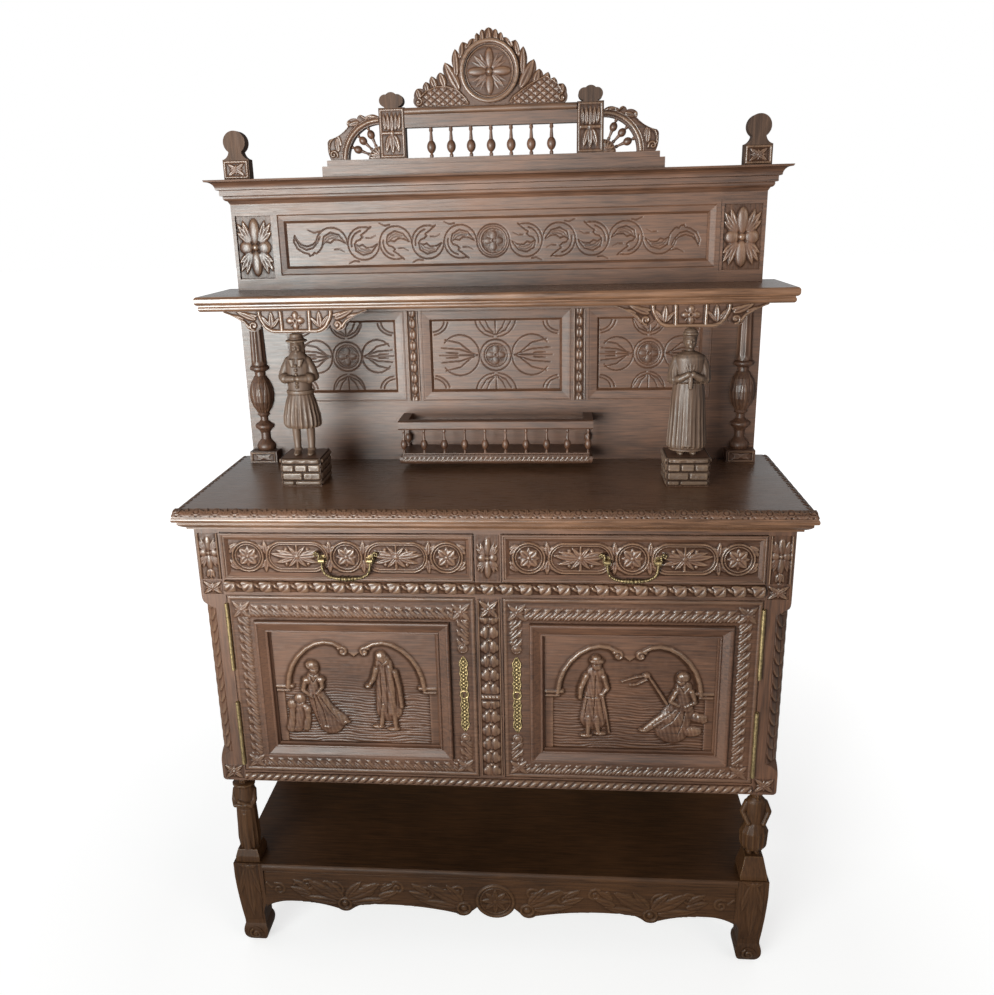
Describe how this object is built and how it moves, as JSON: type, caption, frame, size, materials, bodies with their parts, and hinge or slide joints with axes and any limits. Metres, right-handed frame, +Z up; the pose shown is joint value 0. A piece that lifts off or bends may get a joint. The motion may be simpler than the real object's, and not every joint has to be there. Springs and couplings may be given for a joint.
{
  "type": "sideboard",
  "caption": "Carved dark oak buffet with doors, drawers, open low shelf, gallery, standing figures, frieze and crest",
  "frame": {"origin": "on the floor, at the middle of the overall width and of the overall depth", "axes": "+X to the viewer's right along the width, +Y to the back so the doors face -Y, +Z up"},
  "size_m": [1.36, 0.46, 2.149],
  "materials": {
    "dark_oak": "dark stained and waxed, worn lighter on raised carving",
    "plain_oak": "plain planed boards inside and behind",
    "aged_brass": "dull aged brass",
    "dark_iron": "dark dull iron"
  },
  "bodies": {
    "carcass": {"front_legs": "dark_oak", "rear_posts": "dark_oak", "aprons": "dark_oak", "low_shelf": "dark_oak", "back_boards": "plain_oak", "caryatid_posts": "dark_oak", "corner_posts": "dark_oak", "centre_stiles": "dark_oak", "front_rails": "dark_oak", "side_rails": "dark_oak", "side_panels": "dark_oak", "cabinet_floor": "plain_oak", "inner_shelf": "plain_oak", "drawer_runners": "plain_oak", "counter_top": "dark_oak", "back_frame": "dark_oak", "back_panels": "dark_oak", "gallery_shelf": "dark_oak", "gallery_rail": "dark_oak", "gallery_spindles": "dark_oak", "figure_plinths": "dark_oak", "peasant_man": "dark_oak", "peasant_woman": "dark_oak", "half_columns": "dark_oak", "middle_shelf": "dark_oak", "shelf_brackets": "dark_oak", "frieze_frame": "dark_oak", "frieze_panel": "dark_oak", "frieze_moulding": "dark_oak", "cornice": "dark_oak", "corner_finials": "dark_oak", "crest_rails": "dark_oak", "crest_posts": "dark_oak", "crest_spindles": "dark_oak", "crest_pediment": "dark_oak", "crest_fans": "dark_oak", "hinge_pins": "aged_brass"},
    "door_left": {"door_left_frame": "dark_oak", "door_left_panel": "dark_oak", "door_left_moulding": "dark_oak", "door_left_hinges": "aged_brass", "door_left_escutcheon": "aged_brass", "door_left_lock": "dark_iron"},
    "lock_bolt_left": {"lock_bolt_left": "dark_iron"},
    "drawer_left": {"drawer_left_front": "dark_oak", "drawer_left_box": "plain_oak", "bail_posts_left": "aged_brass"},
    "bail_left": {"bail_left": "aged_brass"},
    "door_right": {"door_right_frame": "dark_oak", "door_right_panel": "dark_oak", "door_right_moulding": "dark_oak", "door_right_hinges": "aged_brass", "door_right_escutcheon": "aged_brass", "door_right_lock": "dark_iron"},
    "lock_bolt_right": {"lock_bolt_right": "dark_iron"},
    "drawer_right": {"drawer_right_front": "dark_oak", "drawer_right_box": "plain_oak", "bail_posts_right": "aged_brass"},
    "bail_right": {"bail_right": "aged_brass"}
  },
  "joints": [
    {"name": "door_left_hinge", "type": "hinge", "parent": "carcass", "child": "door_left", "pos_m": [-0.58725, -0.2029, 0.733], "axis": [0, 0, -1], "range_deg": [0, 110]},
    {"name": "lock_bolt_left_slide", "type": "slide", "parent": "door_left", "child": "lock_bolt_left", "axis": [1, 0, 0], "range_m": [0, 0.012]},
    {"name": "drawer_left_slide", "type": "slide", "parent": "carcass", "child": "drawer_left", "axis": [0, -1, 0], "range_m": [0, 0.26]},
    {"name": "bail_left_hinge", "type": "hinge", "parent": "drawer_left", "child": "bail_left", "pos_m": [-0.3085, -0.208, 1.046], "axis": [-1, 0, 0], "range_deg": [0, 85]},
    {"name": "door_right_hinge", "type": "hinge", "parent": "carcass", "child": "door_right", "pos_m": [0.58725, -0.2029, 0.733], "axis": [0, 0, 1], "range_deg": [0, 110]},
    {"name": "lock_bolt_right_slide", "type": "slide", "parent": "door_right", "child": "lock_bolt_right", "axis": [-1, 0, 0], "range_m": [0, 0.012]},
    {"name": "drawer_right_slide", "type": "slide", "parent": "carcass", "child": "drawer_right", "axis": [0, -1, 0], "range_m": [0, 0.26]},
    {"name": "bail_right_hinge", "type": "hinge", "parent": "drawer_right", "child": "bail_right", "pos_m": [0.3085, -0.208, 1.046], "axis": [-1, 0, 0], "range_deg": [0, 85]}
  ]
}
